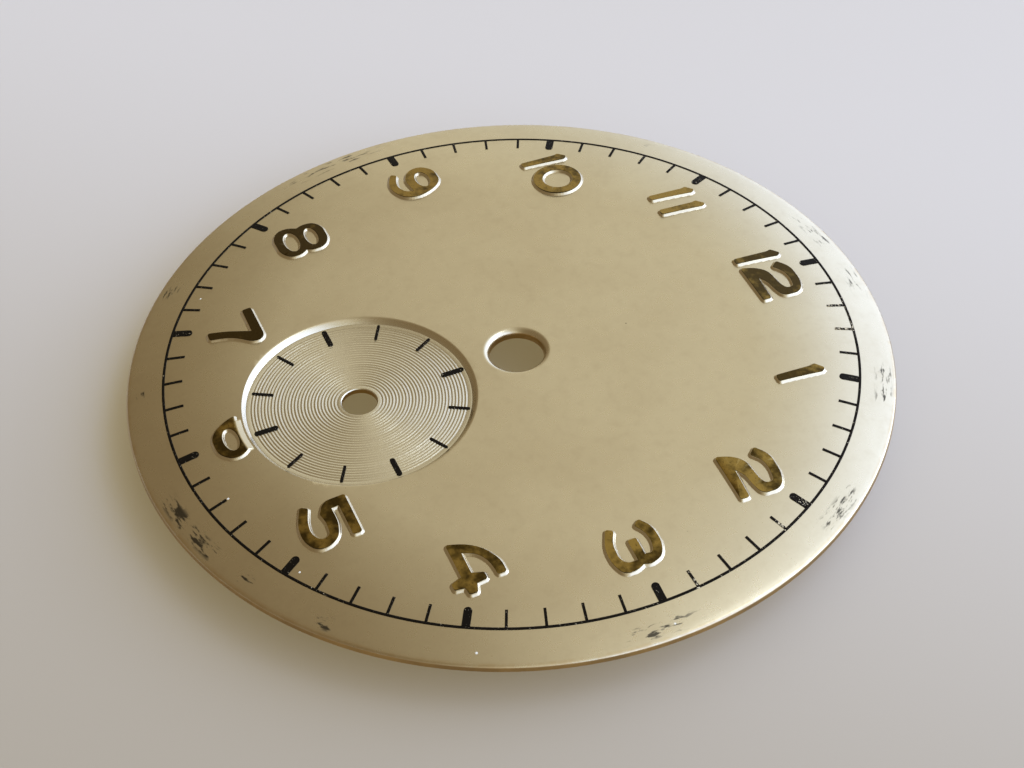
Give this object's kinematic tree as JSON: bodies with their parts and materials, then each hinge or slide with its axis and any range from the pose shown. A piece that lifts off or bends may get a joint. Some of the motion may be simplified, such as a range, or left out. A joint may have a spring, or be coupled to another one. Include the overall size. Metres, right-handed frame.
{
  "type": "watch dial",
  "caption": "Domed silvered watch dial with struck gilt numerals, a printed minute track and a grooved recess for small seconds.",
  "frame": {"origin": "axis of the centre hole, at the underside of the flat crown", "axes": "+Z out of the dial's face along the centre hole, +Y to twelve o'clock, +X to three o'clock"},
  "size_m": [0.029, 0.029, 0.0026],
  "materials": {
    "silvered_plate": "brass with a warm satin silvered face",
    "numeral_gilt": "darkened, worn gilt",
    "black_ink": "matt printed ink",
    "copper": "drawn copper, slightly dull",
    "solder": "grey tin solder"
  },
  "bodies": {
    "root": {"dial_plate": "silvered_plate", "numeral_1_gilt": "numeral_gilt", "numeral_2_gilt": "numeral_gilt", "numeral_3_gilt": "numeral_gilt", "numeral_4_gilt": "numeral_gilt", "numeral_5_gilt": "numeral_gilt", "numeral_6_gilt": "numeral_gilt", "numeral_7_gilt": "numeral_gilt", "numeral_8_gilt": "numeral_gilt", "numeral_9_gilt": "numeral_gilt", "numeral_10_gilt": "numeral_gilt", "numeral_11_gilt": "numeral_gilt", "numeral_12_gilt": "numeral_gilt", "minute_ring_print": "black_ink", "minute_tick_print": "black_ink", "hour_baton_print": "black_ink", "seconds_quarter_print": "black_ink", "seconds_tick_print": "black_ink", "dial_foot_upper": "copper", "dial_foot_lower": "copper", "foot_solder_upper": "solder", "foot_solder_lower": "solder"}
  },
  "joints": []
}
